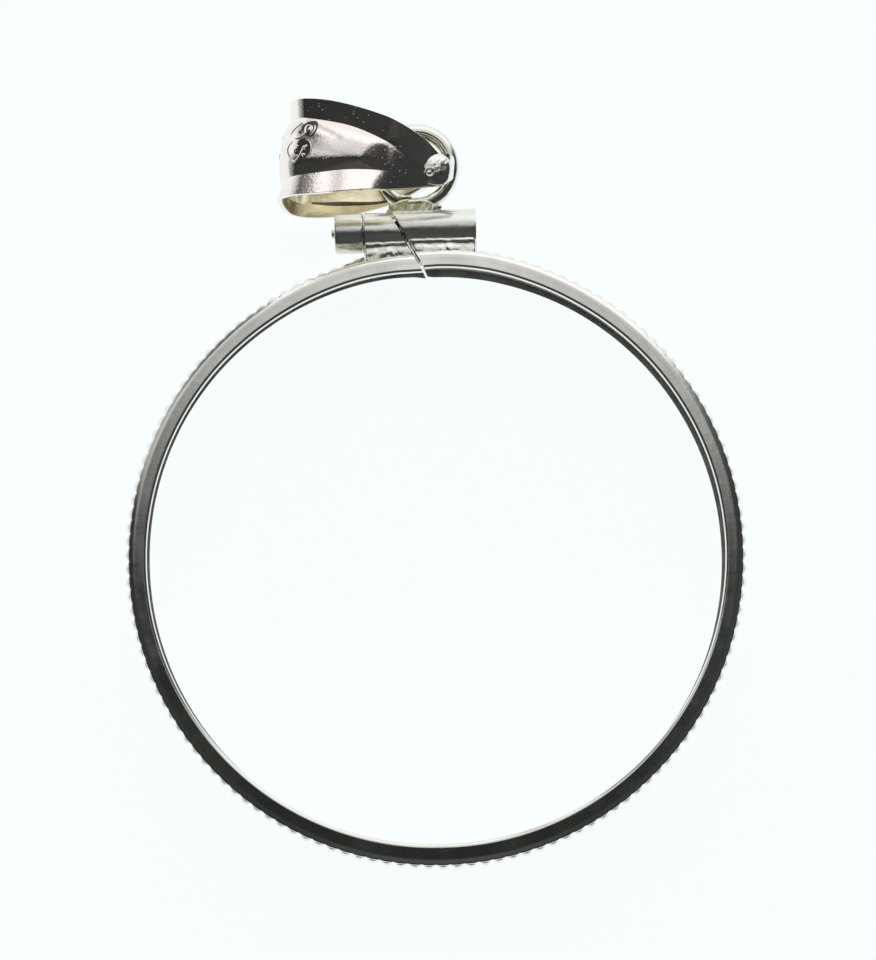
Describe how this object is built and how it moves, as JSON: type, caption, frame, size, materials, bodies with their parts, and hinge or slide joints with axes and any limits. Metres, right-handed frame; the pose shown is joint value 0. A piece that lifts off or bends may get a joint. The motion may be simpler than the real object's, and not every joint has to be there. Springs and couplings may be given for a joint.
{
  "type": "coin bezel",
  "caption": "Round reeded bezel that grips a coin's edge, with a split tube and closing screw, a soldered loop and a folded bail to hang it from a chain.",
  "frame": {"origin": "centre of the coin seat, halfway between the two lips", "axes": "+Z out of the coin's front face, +Y from the coin towards the bail, +X along the closure tube away from the screw's head"},
  "size_m": [0.0404, 0.0502, 0.0058],
  "materials": {
    "frame_silver": "polished sterling silver with fine handling marks",
    "screw_silver": "polished drawn sterling silver",
    "bail_silver": "polished stamped sterling silver with small pits"
  },
  "bodies": {
    "frame": {"bezel_frame": "frame_silver"},
    "screw": {"closure_screw": "screw_silver"},
    "bail": {"bail": "bail_silver"}
  },
  "joints": [
    {"name": "screw_out", "type": "slide", "parent": "frame", "child": "screw", "axis": [-1, 0, 0], "range_m": [0, 0.0074]},
    {"name": "bail_swing", "type": "hinge", "parent": "frame", "child": "bail", "pos_m": [-0.00072, 0.0258, 0], "axis": [0, 0, -1], "range_deg": [0, 165]}
  ]
}
